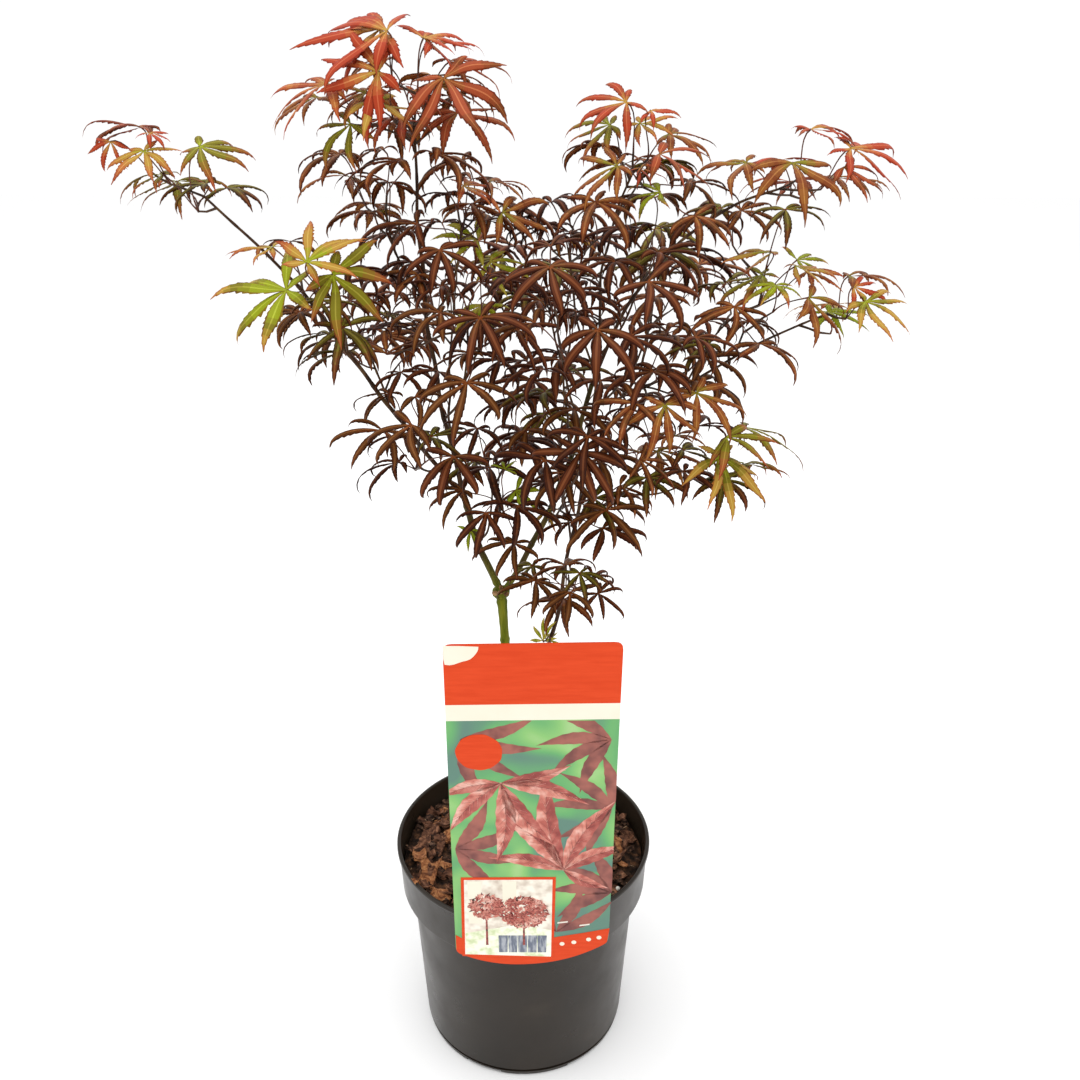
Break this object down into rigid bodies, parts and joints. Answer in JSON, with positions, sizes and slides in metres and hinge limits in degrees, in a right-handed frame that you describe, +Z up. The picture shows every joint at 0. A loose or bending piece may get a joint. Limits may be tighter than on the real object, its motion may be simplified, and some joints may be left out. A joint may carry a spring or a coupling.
{
  "type": "potted japanese maple",
  "caption": "Young japanese maple shrub with narrow starry leaves, green stems and airy forked boughs, growing in a round nursery pot with a plain hang card",
  "frame": {"origin": "centre of the pot's flat underside", "axes": "+Z up along the stem, -Y the side the hang card faces, +X to the right of that side"},
  "size_m": [0.4766, 0.3212, 0.734],
  "materials": {
    "pot_plastic": "satin moulded black plastic with faint scuffs",
    "bark_mix": "loose bark flakes and peat, matt",
    "green_bark": "smooth young green bark",
    "brown_bark": "smooth purple-brown bark",
    "maroon_leaf": "matt dark maroon leaves",
    "red_leaf": "soft orange-red young leaves",
    "amber_leaf": "yellow-green young leaves with amber tips",
    "printed_card": "thin printed plastic card, satin"
  },
  "bodies": {
    "root": {"pot": "pot_plastic", "potting_mix": "bark_mix", "hang_card": "printed_card", "main_stem": "green_bark", "left_limb": "green_bark", "right_limb": "green_bark", "second_stem": "brown_bark", "leader": "brown_bark", "left_bough": "brown_bark", "left_tip_bough": "brown_bark", "left_pad_bough": "brown_bark", "left_mid_bough": "brown_bark", "left_low_bough": "brown_bark", "leader_left_bough": "brown_bark", "leader_right_bough": "brown_bark", "centre_left_bough": "brown_bark", "centre_low_bough": "brown_bark", "low_mid_bough": "brown_bark", "centre_front_bough": "brown_bark", "right_front_bough": "brown_bark", "right_top_bough": "brown_bark", "low_front_bough": "brown_bark", "right_low_bough": "brown_bark", "right_tip_bough": "brown_bark", "right_far_bough": "brown_bark", "right_mid_bough": "brown_bark", "centre_top_bough": "brown_bark", "upper_mid_bough": "brown_bark", "right_back_bough": "brown_bark", "back_left_bough": "brown_bark", "back_mid_bough": "brown_bark", "back_right_bough": "brown_bark", "back_low_bough": "brown_bark", "top_left_leaves": "red_leaf", "leader_left_leaves": "maroon_leaf", "leader_right_leaves": "maroon_leaf", "far_left_leaves": "amber_leaf", "left_pad_leaves": "amber_leaf", "left_mid_leaves": "maroon_leaf", "left_low_leaves": "maroon_leaf", "centre_left_leaves": "maroon_leaf", "centre_low_leaves": "maroon_leaf", "low_mid_leaves": "maroon_leaf", "centre_front_leaves": "maroon_leaf", "right_front_leaves": "maroon_leaf", "low_front_leaves": "maroon_leaf", "right_low_leaves": "maroon_leaf", "right_tip_low_leaves": "amber_leaf", "right_top_leaves": "red_leaf", "right_mid_leaves": "maroon_leaf", "right_far_leaves": "amber_leaf", "centre_top_leaves": "maroon_leaf", "upper_mid_leaves": "red_leaf", "right_back_leaves": "maroon_leaf", "back_left_leaves": "maroon_leaf", "back_mid_leaves": "maroon_leaf", "back_right_leaves": "maroon_leaf", "back_low_leaves": "maroon_leaf"}
  },
  "joints": []
}
